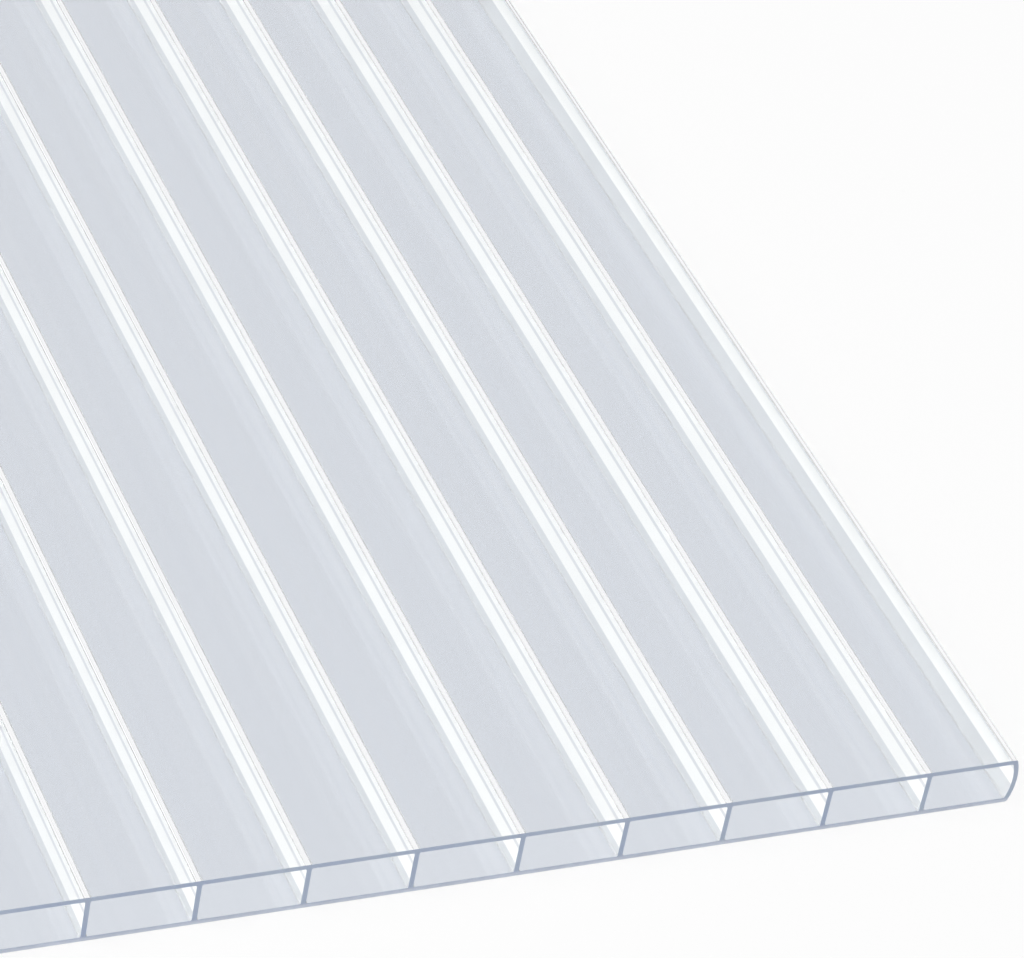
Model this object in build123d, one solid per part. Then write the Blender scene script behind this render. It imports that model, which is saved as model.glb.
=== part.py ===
from build123d import *
import os
from math import floor, sqrt

# A twin-wall glazing sheet, extruded in one piece: a top skin, a bottom skin, upright ribs between
# them, and a wall that closes each long edge. The spaces between the ribs are flutes, open at both
# sawn ends. The sheet lies flat: X runs across the flutes, Y along them, Z up, and the origin is
# the centre of the underside. All sizes are in millimetres.

# The sheet as it is sold
SHEET_WIDTH = 700.0
SHEET_LENGTH = 2000.0
SHEET_THICKNESS = 16.0

# The section
SKIN_THICKNESS = 1.5
RIB_THICKNESS = 1.5
RIB_PITCH = 32.0
ROOT_FILLET = 0.5

# The long edges, whose wall bows outwards and turns into the skins with round corners
EDGE_WALL_THICKNESS = 1.5
EDGE_BOW = 1.5
EDGE_CORNER_RADIUS = 1.0

# Levels and places worked out from those sizes
half_width = SHEET_WIDTH / 2
mid_height = SHEET_THICKNESS / 2
flute_bottom = SKIN_THICKNESS
flute_top = SHEET_THICKNESS - SKIN_THICKNESS
flute_height = flute_top - flute_bottom
flute_width = RIB_PITCH - RIB_THICKNESS

# The edge wall is an arc on the sheet's mid height, as far out as the sheet is wide
bow_radius = (mid_height**2 + EDGE_BOW**2) / (2 * EDGE_BOW)
bow_centre_x = half_width - bow_radius
edge_flute_radius = max(ROOT_FILLET, EDGE_CORNER_RADIUS - EDGE_WALL_THICKNESS)

# Ribs stand a pitch apart about a middle one, and the last keeps half a pitch or more from the edge
ribs_each_side = floor((half_width - RIB_PITCH / 2) / RIB_PITCH)
inner_flutes = 2 * ribs_each_side
last_rib_face = ribs_each_side * RIB_PITCH + RIB_THICKNESS / 2


def sheet_outline():
    """The outside of the section: two flat skins joined by the bowed edges."""
    corner_x = half_width - EDGE_BOW
    underside = Line((-corner_x, 0), (corner_x, 0))
    right_bow = ThreePointArc((corner_x, 0), (half_width, mid_height), (corner_x, SHEET_THICKNESS))
    top_side = Line((corner_x, SHEET_THICKNESS), (-corner_x, SHEET_THICKNESS))
    left_bow = ThreePointArc((-corner_x, SHEET_THICKNESS), (-half_width, mid_height), (-corner_x, 0))
    outline = make_face(underside + right_bow + top_side + left_bow)
    return fillet(outline.vertices(), EDGE_CORNER_RADIUS)


def flutes_between_ribs():
    """One rounded opening between each two ribs."""
    flute = RectangleRounded(flute_width, flute_height, ROOT_FILLET)
    places = GridLocations(RIB_PITCH, flute_height, inner_flutes, 1)
    return [Pos(0, mid_height) * place * flute for place in places]


def right_edge_flute():
    """The last opening, between the last rib and the bowed edge wall."""
    wall_radius = bow_radius - EDGE_WALL_THICKNESS
    corner_x = bow_centre_x + sqrt(wall_radius**2 - (flute_height / 2) ** 2)
    bulge_x = half_width - EDGE_WALL_THICKNESS
    straight_sides = Polyline(
        (corner_x, flute_bottom),
        (last_rib_face, flute_bottom),
        (last_rib_face, flute_top),
        (corner_x, flute_top),
    )
    wall_side = ThreePointArc((corner_x, flute_top), (bulge_x, mid_height), (corner_x, flute_bottom))
    flute = make_face(straight_sides + wall_side)
    flute = fillet(flute.vertices().group_by(Axis.X)[0], ROOT_FILLET)
    return fillet(flute.vertices().group_by(Axis.X)[-1], edge_flute_radius)


def twinwall_section():
    """The sheet's section, seen along the flutes."""
    edge_flute = right_edge_flute()
    openings = flutes_between_ribs() + [edge_flute, mirror(edge_flute, about=Plane.YZ)]
    return sheet_outline() - openings


def twinwall_sheet():
    """The section drawn out from the far sawn end to the near one."""
    far_end = Plane.XZ.offset(-SHEET_LENGTH / 2)
    return extrude(far_end * twinwall_section(), SHEET_LENGTH)


os.makedirs("parts", exist_ok=True)
export_step(twinwall_sheet().solid(), "parts/twinwall_sheet.step")
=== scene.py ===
# %% [markdown]
# A clear twin-wall glazing sheet, sawn from stock and lying flat on a pale floor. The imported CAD
# solid comes in first. It stays the measure of everything below: the new mesh takes its width,
# length and thickness from the solid's own box, so the dressed sheet can't grow out of it.

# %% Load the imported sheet
import math
import bmesh
import bpy
from mathutils import Matrix, Vector


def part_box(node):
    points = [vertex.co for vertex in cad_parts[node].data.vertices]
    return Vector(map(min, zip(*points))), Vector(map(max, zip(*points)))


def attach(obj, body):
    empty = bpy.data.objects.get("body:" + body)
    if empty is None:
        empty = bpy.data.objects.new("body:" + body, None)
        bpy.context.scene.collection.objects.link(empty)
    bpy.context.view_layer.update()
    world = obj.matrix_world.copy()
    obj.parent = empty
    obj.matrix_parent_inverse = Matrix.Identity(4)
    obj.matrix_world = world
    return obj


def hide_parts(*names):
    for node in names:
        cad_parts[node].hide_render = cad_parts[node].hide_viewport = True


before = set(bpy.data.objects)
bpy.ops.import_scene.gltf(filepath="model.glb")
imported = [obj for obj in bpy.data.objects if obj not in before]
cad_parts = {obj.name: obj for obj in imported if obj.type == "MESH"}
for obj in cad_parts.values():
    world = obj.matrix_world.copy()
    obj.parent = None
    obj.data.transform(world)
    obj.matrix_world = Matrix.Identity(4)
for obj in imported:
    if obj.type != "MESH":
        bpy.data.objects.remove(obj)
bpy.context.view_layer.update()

MM = 0.001
low_corner, high_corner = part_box("twinwall_sheet")
half_width = high_corner[0]
far_end = high_corner[1]
thickness = high_corner[2]
length = far_end - low_corner[1]
mid_height = thickness / 2
spans = [high - low for low, high in zip(low_corner, high_corner)]
print("sheet", [round(span / MM, 2) for span in spans], "mm")

# %% [markdown]
# The section repeats across the width: two skins, and a rib at every pitch. Only the last cell at
# each long edge is different, because there a bowed wall closes the sheet. These are the sizes
# that the extrusion die sets, in millimetres on the drawing and in metres here.

# %% Sizes of the section
SKIN = 1.5 * MM
RIB = 1.5 * MM
PITCH = 32.0 * MM
ROOT_FILLET = 0.5 * MM
EDGE_WALL = 1.5 * MM
EDGE_BOW = 1.5 * MM
EDGE_CORNER = 1.0 * MM

ribs_each_side = math.floor((half_width - PITCH / 2) / PITCH)
cells = 2 * ribs_each_side + 2
last_rib = ribs_each_side * PITCH
print(2 * ribs_each_side + 1, "ribs and", cells, "flutes")

# %% [markdown]
# A die makes the sheet by pushing plastic through one flat slot pattern, so the mesh starts the
# same way: as a flat section at the far end. A grid, made a metre wide and then scaled, gives one
# cell a pitch wide for each flute, and its two outer columns are pulled in to the real edges. Inset
# faces then leave half a rib of plastic round every flute, and their corners move in further, to
# the thickness of the skins and of the edge walls.

# %% Lay out the cells
TINY = 0.001 * MM
section = bmesh.new()
bmesh.ops.create_grid(section, x_segments=cells, y_segments=1, size=0.5)
bmesh.ops.scale(section, vec=(cells * PITCH, thickness, 1), verts=section.verts)
upright = Matrix.Rotation(math.radians(90), 3, "X")
bmesh.ops.rotate(section, cent=(0, 0, 0), matrix=upright, verts=section.verts)
bmesh.ops.translate(section, vec=(0, far_end, mid_height), verts=section.verts)
for vert in section.verts:
    if abs(vert.co.x) > last_rib + TINY:
        vert.co.x = math.copysign(half_width, vert.co.x)

cell_faces = list(section.faces)
bmesh.ops.inset_individual(section, faces=cell_faces, thickness=RIB / 2, use_even_offset=True)
for face in cell_faces:
    for vert in face.verts:
        vert.co.z += math.copysign(SKIN - RIB / 2, mid_height - vert.co.z)
        if abs(vert.co.x) > half_width - RIB:
            vert.co.x -= math.copysign(EDGE_WALL - RIB / 2, vert.co.x)
print(len(section.faces) - cells, "faces round", cells, "flutes")

# %% [markdown]
# The long edges bulge outwards. Each upright edge line at the ends of the row is cut into short
# steps, and every point goes out to a circle: one through the two corners for the outside, and
# one an edge wall's thickness smaller for the inside. That keeps the wall even, as the die does.

# %% Bow the long edges
BOW_STEPS = 31
bow_radius = (mid_height**2 + EDGE_BOW**2) / (2 * EDGE_BOW)


def bow(section, edge_x, radius):
    """Moves the upright lines at edge_x on both sides out to a circle of that radius."""

    def on_edge(vert):
        return abs(abs(vert.co.x) - edge_x) < TINY

    uprights = [edge for edge in section.edges if all(on_edge(vert) for vert in edge.verts)]
    bmesh.ops.subdivide_edges(section, edges=uprights, cuts=BOW_STEPS)
    edge_verts = [vert for vert in section.verts if on_edge(vert)]
    for vert in edge_verts:
        reach = math.sqrt(radius**2 - (vert.co.z - mid_height) ** 2)
        vert.co.x = math.copysign(half_width - bow_radius + reach, vert.co.x)


bow(section, half_width - EDGE_WALL, bow_radius - EDGE_WALL)
bow(section, half_width, bow_radius)
print("edge walls bowed to a radius of", round(bow_radius / MM, 2), "mm")

# %% [markdown]
# Now the flutes are opened and the section is drawn out over the whole length, from the far sawn
# end to the near one. The faces of the flutes are deleted first, so that the extrusion leaves them
# open at both ends and makes the walls between them by itself.

# %% Extrude the sheet
bmesh.ops.delete(section, geom=cell_faces, context="FACES")
drawn = bmesh.ops.extrude_face_region(section, geom=list(section.faces))
drawn_verts = [item for item in drawn["geom"] if isinstance(item, bmesh.types.BMVert)]
bmesh.ops.translate(section, vec=(0, -length, 0), verts=drawn_verts)
bmesh.ops.recalc_face_normals(section, faces=section.faces)
print("drawn out over", round(length / MM), "mm, with", len(section.faces), "faces")

# %% [markdown]
# The root of every rib has a small round on both sides, since molten plastic never leaves the die
# with a knife-sharp inner corner, and the four outer corners of the edge walls have a larger one.
# Bevels along the long lines make both, after the extrusion, so each round runs from end to end.

# %% Round the long corners
ROOT_STEPS = 16
CORNER_STEPS = 24


def long_lines(section, wanted):
    """The lines that run from end to end and whose X and Z suit wanted."""
    lines = []
    for edge in section.edges:
        start, end = (vert.co for vert in edge.verts)
        if abs(start.y - end.y) > length / 2 and wanted(abs(start.x), start.z):
            lines.append(edge)
    return lines


def is_root(x, z):
    """Whether a long line lies where a rib or an edge wall meets the inside of a skin."""
    return min(abs(z - SKIN), abs(z - thickness + SKIN)) < TINY


def is_outer_corner(x, z):
    """Whether a long line lies on the outside of a skin, at a long edge of the sheet."""
    return x > last_rib + PITCH / 2 and min(z, thickness - z) < TINY


def round_off(section, lines, radius, steps):
    """Rounds those long lines, and prints how many there were."""
    bmesh.ops.bevel(
        section, geom=lines, offset=radius, segments=steps, profile=0.5, affect="EDGES", material=-1)
    print(len(lines), "long corners rounded to", round(radius / MM, 2), "mm")


round_off(section, long_lines(section, is_root), ROOT_FILLET, ROOT_STEPS)
round_off(section, long_lines(section, is_outer_corner), EDGE_CORNER, CORNER_STEPS)

# %% [markdown]
# The finished mesh becomes one object, as the sheet is one piece of plastic. Smooth shading alone
# would bend the light on the wide flat skins beside each small round, so a Weighted Normal
# modifier lets the big faces keep their own direction and only the rounds turn it.

# %% Make the sheet an object
SHARP_ANGLE = math.radians(40)
BIG_FACE_WEIGHT = 100
sheet_mesh = bpy.data.meshes.new("clear_twinwall_sheet")
section.to_mesh(sheet_mesh)
open_edges = sum(1 for edge in section.edges if not edge.is_manifold)
volume = round(section.calc_volume() / MM**3)
print(len(section.faces), "faces,", open_edges, "open edges,", volume, "cubic mm")
section.free()

sheet = bpy.data.objects.new("clear_twinwall_sheet", sheet_mesh)
bpy.context.scene.collection.objects.link(sheet)
sheet_mesh.shade_smooth()
sheet_mesh.set_sharp_from_angle(angle=SHARP_ANGLE)
flat_skins = sheet.modifiers.new("flat_skins", "WEIGHTED_NORMAL")
flat_skins.keep_sharp = True
flat_skins.weight = BIG_FACE_WEIGHT

# %% [markdown]
# Three helpers serve the materials. Colours are written as the sRGB hex values that a paint chart
# would give, and the first helper turns them into the linear values that Blender mixes light in.
# The second adds a node, sets what it is given, and links what comes from a socket. The third
# starts a polycarbonate, whose index of refraction is the same for every finish.

# %% Helpers for materials
POLYCARBONATE_IOR = 1.585


def linear(hex_colour):
    """An sRGB colour such as #D7DBE1 as linear red, green, blue and a full alpha."""
    rgb = [int(hex_colour[place:place + 2], 16) / 255 for place in (1, 3, 5)]
    return [part / 12.92 if part <= 0.04045 else ((part + 0.055) / 1.055) ** 2.4 for part in rgb] + [1]


def add_node(tree, kind, inputs, **settings):
    """Adds a node of that kind. A socket among the inputs is linked, and anything else is a value."""
    node = tree.nodes.new(kind)
    for name, value in settings.items():
        setattr(node, name, value)
    for name, value in inputs.items():
        if isinstance(value, bpy.types.NodeSocket):
            tree.links.new(value, node.inputs[name])
        else:
            node.inputs[name].default_value = value
    return node


def plastic(name, base_colour, transmission, roughness):
    """A polycarbonate material and its tree, with the values that are the same all over."""
    material = bpy.data.materials.new(name)
    material.use_nodes = True
    shader = material.node_tree.nodes["Principled BSDF"]
    shader.inputs["Base Color"].default_value = linear(base_colour)
    shader.inputs["Transmission Weight"].default_value = transmission
    shader.inputs["Roughness"].default_value = roughness
    shader.inputs["IOR"].default_value = POLYCARBONATE_IOR
    return material, material.node_tree, shader


print("middle grey #808080 in linear light:", [round(part, 3) for part in linear("#808080")])

# %% [markdown]
# The skins are clear polycarbonate, polished by the calibrating plates as they leave the die. To
# the eye they are glass with a cool tint, and the top skin hardly shows. The under skin carries
# painted shade: its much deeper blue-grey tint stands in for the shade that the sheet casts on the
# floor beneath it, and turns the white floor seen through it to a pale blue-grey. Faint streaks run
# along the extrusion, where the die's lip was never quite even, some 3 mm apart and half a metre
# long. A noise stretched to those sizes gives them, as a drift between two tints. The Mix node has
# sockets of one name for numbers, vectors and colours, so those for colours are named here by their
# place among the node's sockets.

# %% Clear skins, the under one with painted shade
FULLY_CLEAR = 1.0
POLISHED = 0.0
STREAK_SPACING = 3.0 * MM
STREAK_LENGTH = 500.0 * MM
STREAK_DETAIL = 2.0
SHARE = 0
FIRST_COLOUR = 6
SECOND_COLOUR = 7
MIXED_COLOUR = 2


def extruded_streaks(tree, clear_colour, streak_colour):
    """A colour that wanders between two tints in long thin streaks along the sheet."""
    place = add_node(tree, "ShaderNodeTexCoord", {})
    stretch = (1 / STREAK_SPACING, 1 / STREAK_LENGTH, 1 / STREAK_SPACING)
    mapping = {"Vector": place.outputs["Object"], "Scale": stretch}
    drawn_out = add_node(tree, "ShaderNodeMapping", mapping)
    streaks = {"Vector": drawn_out.outputs[0], "Scale": 1.0, "Detail": STREAK_DETAIL}
    noise = add_node(tree, "ShaderNodeTexNoise", streaks)
    tints = {
        SHARE: noise.outputs[0],
        FIRST_COLOUR: linear(clear_colour),
        SECOND_COLOUR: linear(streak_colour),
    }
    return add_node(tree, "ShaderNodeMix", tints, data_type="RGBA").outputs[MIXED_COLOUR]


top_skin, tree, shader = plastic("clear_extruded_polycarbonate", "#FEFEFF", FULLY_CLEAR, POLISHED)
tree.links.new(extruded_streaks(tree, "#FFFFFF", "#FBFCFE"), shader.inputs["Base Color"])
# The under skin's deeper tint is painted shade, for the shade that the sheet casts on the floor below.
under_skin_painted_shade, tree, shader = plastic("painted_shade_polycarbonate", "#C0C8D5", FULLY_CLEAR, POLISHED)
tree.links.new(extruded_streaks(tree, "#C3CBD8", "#BCC4D1"), shader.inputs["Base Color"])
print("skins:", top_skin.name, "and", under_skin_painted_shade.name)

# %% [markdown]
# The ribs show as white lines. Air cools them from both sides while the plates hold only the skins,
# so their faces come out a little frosted and catch the light. The foot of a rib carries painted
# shade, a darker grey near the under skin that is darkest in the round at its root, and one thin line
# from the die runs along each face. So a rib's colour is built from the root upwards, one change at
# a time, and each change is spread over a real height.

# %% Colour from the root upwards
FROST_SOFTNESS = 0.5 * MM
LINE_WIDTH = 1.4 * MM
LINE_SOFTNESS = 0.28 * MM


def colours_upwards(tree, colour, changes):
    """A colour that changes with height: each change has its start, its softness and its colour."""
    place = add_node(tree, "ShaderNodeTexCoord", {})
    height = add_node(tree, "ShaderNodeSeparateXYZ", {"Vector": place.outputs["Object"]})
    for start, softness, next_colour in changes:
        rise = {"Value": height.outputs["Z"], "From Min": start, "From Max": start + softness}
        share = add_node(tree, "ShaderNodeMapRange", rise)
        colours = {SHARE: share.outputs[0], FIRST_COLOUR: colour, SECOND_COLOUR: next_colour}
        colour = add_node(tree, "ShaderNodeMix", colours, data_type="RGBA").outputs[MIXED_COLOUR]
    return colour


print("the thin line on a rib is", round(LINE_WIDTH / MM, 2), "mm wide")

# %% [markdown]
# Light that is already inside the plastic still runs along a rib as in a light pipe, so the frost
# counts only from the air side: the material asks whether a ray meets a face from behind. The edge
# walls are the same as the ribs, with a higher foot of painted shade and a fainter line.

# %% Frosted ribs and edge walls
FROST_CLEARNESS = 0.12
FROST_ROUGHNESS = 0.25


def frosted(name, painted_shade_top, painted_shade_colour, line_height, line_colour):
    """A plastic frosted above a foot of painted shade but for one line, and clear from within."""
    material, tree, shader = plastic(name, "#FFFFFF", FROST_CLEARNESS, FROST_ROUGHNESS)
    frost = linear("#FFFFFB")
    # The root colour #C3C7CA and the foot colour are painted shade, darkest in the round at the root.
    changes = (
        (SKIN, ROOT_FILLET, linear(painted_shade_colour)),
        (painted_shade_top, FROST_SOFTNESS, frost),
        (line_height - (LINE_WIDTH + LINE_SOFTNESS) / 2, LINE_SOFTNESS, linear(line_colour)),
        (line_height + (LINE_WIDTH - LINE_SOFTNESS) / 2, LINE_SOFTNESS, frost),
    )
    tree.links.new(colours_upwards(tree, linear("#C3C7CA"), changes), shader.inputs["Base Color"])
    inside = add_node(tree, "ShaderNodeNewGeometry", {}).outputs["Backfacing"]
    sides = (
        ("Transmission Weight", FROST_CLEARNESS, FULLY_CLEAR),
        ("Roughness", FROST_ROUGHNESS, POLISHED),
    )
    for socket, from_air, from_within in sides:
        switch = {"Value": inside, "To Min": from_air, "To Max": from_within}
        value = add_node(tree, "ShaderNodeMapRange", switch)
        tree.links.new(value.outputs[0], shader.inputs[socket])
    return material


# Each foot below is painted shade: a darker grey from the root up to this height.
RIB_PAINTED_SHADE_TOP = 4.5 * MM
RIB_LINE = 10.8 * MM
WALL_PAINTED_SHADE_TOP = 6.4 * MM
WALL_LINE = 12.9 * MM
rib_frost = frosted("frosted_rib_with_painted_shade", RIB_PAINTED_SHADE_TOP, "#D9DCDE", RIB_LINE, "#DEE0E2")
wall_frost = frosted("frosted_edge_with_painted_shade", WALL_PAINTED_SHADE_TOP, "#D3D6D8", WALL_LINE, "#EDEFF0")
print("ribs:", rib_frost.name, "and", wall_frost.name)

# %% [markdown]
# The ends are sawn and left as cut. A saw tears the surface into a fine matt, so the cut shows the
# plastic's own colour, which is a deeper blue-grey than any face looked through. The tone drifts
# every few centimetres, as the blade's feed does, and the lowest millimetre or so is painted paler:
# that is painted light, for the white floor shining into the cut.

# %% Sawn ends
SAWN_CLEARNESS = 0.2
SAWN_ROUGHNESS = 0.35
FEED_SPACING = 25.0 * MM
FEED_DETAIL = 3.0
DRIFT_LOW = 0.35
DRIFT_HIGH = 0.65
PAINTED_LIGHT_HEIGHT = 0.7 * MM
PAINTED_LIGHT_SOFTNESS = 1.1 * MM
sawn_end, tree, shader = plastic("sawn_polycarbonate", "#B6C3DD", SAWN_CLEARNESS, SAWN_ROUGHNESS)
place = add_node(tree, "ShaderNodeTexCoord", {})
feed = {"Vector": place.outputs["Object"], "Scale": 1 / FEED_SPACING, "Detail": FEED_DETAIL}
noise = add_node(tree, "ShaderNodeTexNoise", feed)
drift = {"Value": noise.outputs[0], "From Min": DRIFT_LOW, "From Max": DRIFT_HIGH}
share = add_node(tree, "ShaderNodeMapRange", drift)
tones = {SHARE: share.outputs[0], FIRST_COLOUR: linear("#B5C4E1"), SECOND_COLOUR: linear("#C3D0E4")}
tone = add_node(tree, "ShaderNodeMix", tones, data_type="RGBA").outputs[MIXED_COLOUR]
# The paler #E2EAFB at the bottom of the cut is painted light from the white floor.
above_floor = ((PAINTED_LIGHT_HEIGHT, PAINTED_LIGHT_SOFTNESS, tone),)
tree.links.new(colours_upwards(tree, linear("#E2EAFB"), above_floor), shader.inputs["Base Color"])
print("ends:", sawn_end.name)

# %% [markdown]
# Each face of the mesh takes the finish of the part that it belongs to, told from its normal. The
# saw made every face that looks along the sheet. One that looks even a little sideways belongs to a
# rib and its root, or to an edge wall, which is frosted on the inside only. The floor of each flute
# carries the under skin's painted shade, a tint that stands in for the sheet's shade on the floor
# below, and all the rest is clear skin.

# %% Give each face its finish
LOOKS_ALONG = 0.9
LOOKS_SIDEWAYS = 0.02
LOOKS_UP = 0.5
FINISHES = (top_skin, under_skin_painted_shade, rib_frost, wall_frost, sawn_end)
for finish in FINISHES:
    sheet_mesh.materials.append(finish)


def finish_of(face):
    """The finish for a face, from where it looks and where it lies."""
    normal, centre = face.normal, face.center
    if abs(normal.y) > LOOKS_ALONG:
        return sawn_end
    at_edge = abs(centre.x) > last_rib + PITCH / 2
    sideways = abs(normal.x) > LOOKS_SIDEWAYS
    if sideways and not at_edge:
        return rib_frost
    if sideways and normal.x * centre.x < 0:
        return wall_frost
    # The floor of each flute takes the under skin's painted shade.
    on_floor_of_flute = normal.z > LOOKS_UP and centre.z < mid_height
    return under_skin_painted_shade if on_floor_of_flute else top_skin


for face in sheet_mesh.polygons:
    face.material_index = FINISHES.index(finish_of(face))
uses = [face.material_index for face in sheet_mesh.polygons]
print({finish.name: uses.count(number) for number, finish in enumerate(FINISHES)})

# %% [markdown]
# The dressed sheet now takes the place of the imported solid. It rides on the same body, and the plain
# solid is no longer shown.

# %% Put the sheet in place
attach(sheet, "root")
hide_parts("twinwall_sheet")
print(sheet.name, "stands for the packed sheet")

# %% [markdown]
# The sheet lies on a plain pale floor that runs to the horizon. The floor sits half a millimetre
# low, as a real one does under a sheet that touches it in a few spots.

# %% Floor
FLOOR_SIZE = 60.0
FLOOR_GAP = 0.5 * MM
floor_form = bmesh.new()
bmesh.ops.create_grid(floor_form, x_segments=1, y_segments=1, size=FLOOR_SIZE / 2)
bmesh.ops.translate(floor_form, vec=(0, 0, -FLOOR_GAP), verts=floor_form.verts)
floor_mesh = bpy.data.meshes.new("floor")
floor_form.to_mesh(floor_mesh)
floor_form.free()
floor = bpy.data.objects.new("floor", floor_mesh)
bpy.context.scene.collection.objects.link(floor)
print("floor", FLOOR_SIZE, "m wide,", round(FLOOR_GAP / MM, 2), "mm below the sheet")

# %% [markdown]
# Seen directly, the floor is mostly white, as the backdrop of a product shot, and the rest is paper
# that the studio lights, so the sheet's shadow stays. Seen through the plastic it is plain white:
# the many bounces between the sheet and a white floor add up to that.

# %% Floor paint
FLOOR_WHITE = 0.88
floor_paint = bpy.data.materials.new("pale_floor")
floor_paint.use_nodes = True
tree = floor_paint.node_tree
matt = tree.nodes["Principled BSDF"]
matt.inputs["Base Color"].default_value = linear("#E0E0E0")
matt.inputs["Roughness"].default_value = 1.0
matt.inputs["Specular IOR Level"].default_value = 0.0
ray = add_node(tree, "ShaderNodeLightPath", {})
seen_directly = {"Value": ray.outputs["Is Camera Ray"], "To Max": FLOOR_WHITE}
direct = add_node(tree, "ShaderNodeMapRange", seen_directly)
seen_through = {"Value": ray.outputs["Is Transmission Ray"], "To Min": direct.outputs[0]}
share = add_node(tree, "ShaderNodeMapRange", seen_through)
white = add_node(tree, "ShaderNodeEmission", {"Strength": 1.0})
layers = {0: share.outputs[0], 1: matt.outputs[0], 2: white.outputs[0]}
blend = add_node(tree, "ShaderNodeMixShader", layers)
tree.links.new(blend.outputs[0], tree.nodes["Material Output"].inputs["Surface"])
floor_mesh.materials.append(floor_paint)
print("floor paint: white for", FLOOR_WHITE, "of what the camera sees directly")

# %% [markdown]
# The light is that of a white product studio. An even white room fills in, dimmer than the frosted
# ribs, so that their mirror image in the under skin shows as a faint band beside each of them.

# %% Room light
AMBIENT = 0.62
world = bpy.data.worlds.new("studio")
world.use_nodes = True
bpy.context.scene.world = world
room = world.node_tree.nodes["Background"]
room.inputs["Color"].default_value = linear("#FFFFFF")
room.inputs["Strength"].default_value = AMBIENT
print("room light", AMBIENT)

# %% [markdown]
# One large soft box on the left lights the rib faces that the camera sees, and leaves a soft shadow
# on the right. It hangs half way up, where no low view of the sheet sees it mirrored in the skins.

# %% Soft box
LAMP_SIZE = 2.4
LAMP_DISTANCE = 3.5
LAMP_ELEVATION = math.radians(45)
LAMP_POWER = 108
LAMP_TARGET = Vector((0.2, -0.8, 0.0))
lamp_light = bpy.data.lights.new("left_softbox", "AREA")
lamp_light.shape = "SQUARE"
lamp_light.size = LAMP_SIZE
lamp_light.energy = LAMP_POWER
lamp = bpy.data.objects.new("left_softbox", lamp_light)
bpy.context.scene.collection.objects.link(lamp)
towards_lamp = Vector((-math.cos(LAMP_ELEVATION), 0, math.sin(LAMP_ELEVATION)))
lamp.location = LAMP_TARGET + towards_lamp * LAMP_DISTANCE
lamp.rotation_euler = towards_lamp.to_track_quat("Z", "Y").to_euler()
print("soft box at", [round(value, 2) for value in lamp.location])

# %% [markdown]
# The camera stands about where the photograph's did. Its place, turn and focal length were solved
# from the picture: from the points where ribs and skins meet at the sawn end, from the lines of the
# ribs, and from the right edge. The picture's perspective isn't quite consistent, so the camera is
# the best compromise. The focal length is in pixels of an image 1024 wide, and a sensor width turns
# it into millimetres.

# %% Camera lens
IMAGE_WIDTH = 1024
FOCAL_PIXELS = 5154
SENSOR = 36.0
NEAREST = 0.01
FARTHEST = 100
camera_data = bpy.data.cameras.new("camera")
camera_data.sensor_width = SENSOR
camera_data.lens = FOCAL_PIXELS * SENSOR / IMAGE_WIDTH
camera_data.clip_start = NEAREST
camera_data.clip_end = FARTHEST
camera = bpy.data.objects.new("camera", camera_data)
bpy.context.scene.collection.objects.link(camera)
print("camera lens", round(camera_data.lens, 1), "mm")

# %% [markdown]
# The camera looks down by its elevation and to the right of +Y by its azimuth, and then rolls a
# little. A Blender camera looks along its own -Z, with its own +Y upwards in the picture. So the
# columns of its turn are the picture's right, the picture's top and the way back to the viewer.

# %% Aim the camera
CAMERA_PLACE = Vector((-0.3516, -1.9447, 0.9565))
ELEVATION = math.radians(36.97)
AZIMUTH = math.radians(28.71)
ROLL = math.radians(-11.44)
overhead = Vector((0, 0, 1))
ahead = Vector((math.sin(AZIMUTH), math.cos(AZIMUTH), 0))
forward = ahead * math.cos(ELEVATION) - overhead * math.sin(ELEVATION)
level_right = forward.cross(overhead).normalized()
level_up = level_right.cross(forward)
right = level_right * math.cos(ROLL) - level_up * math.sin(ROLL)
up = right.cross(forward)
turn = Matrix((right, up, -forward)).transposed()
camera.matrix_world = Matrix.Translation(CAMERA_PLACE) @ turn.to_4x4()
bpy.context.scene.camera = camera
print("camera at", [round(value, 3) for value in CAMERA_PLACE])

# %% [markdown]
# Light crosses many clear walls before it leaves the sheet, and it runs along the skins by total
# reflection. It needs far more bounces than an opaque object, or the small rounds at the ribs turn
# dark. No blur is added to glossy rays, because it would soften what is seen through the plastic.

# %% Render settings
CLEAR_BOUNCES = 160
MATT_BOUNCES = 3
scene = bpy.context.scene
scene.view_settings.view_transform = "Standard"
scene.cycles.max_bounces = CLEAR_BOUNCES
scene.cycles.transmission_bounces = CLEAR_BOUNCES
scene.cycles.glossy_bounces = CLEAR_BOUNCES
scene.cycles.diffuse_bounces = MATT_BOUNCES
scene.cycles.blur_glossy = 0.0
print("up to", scene.cycles.max_bounces, "bounces")
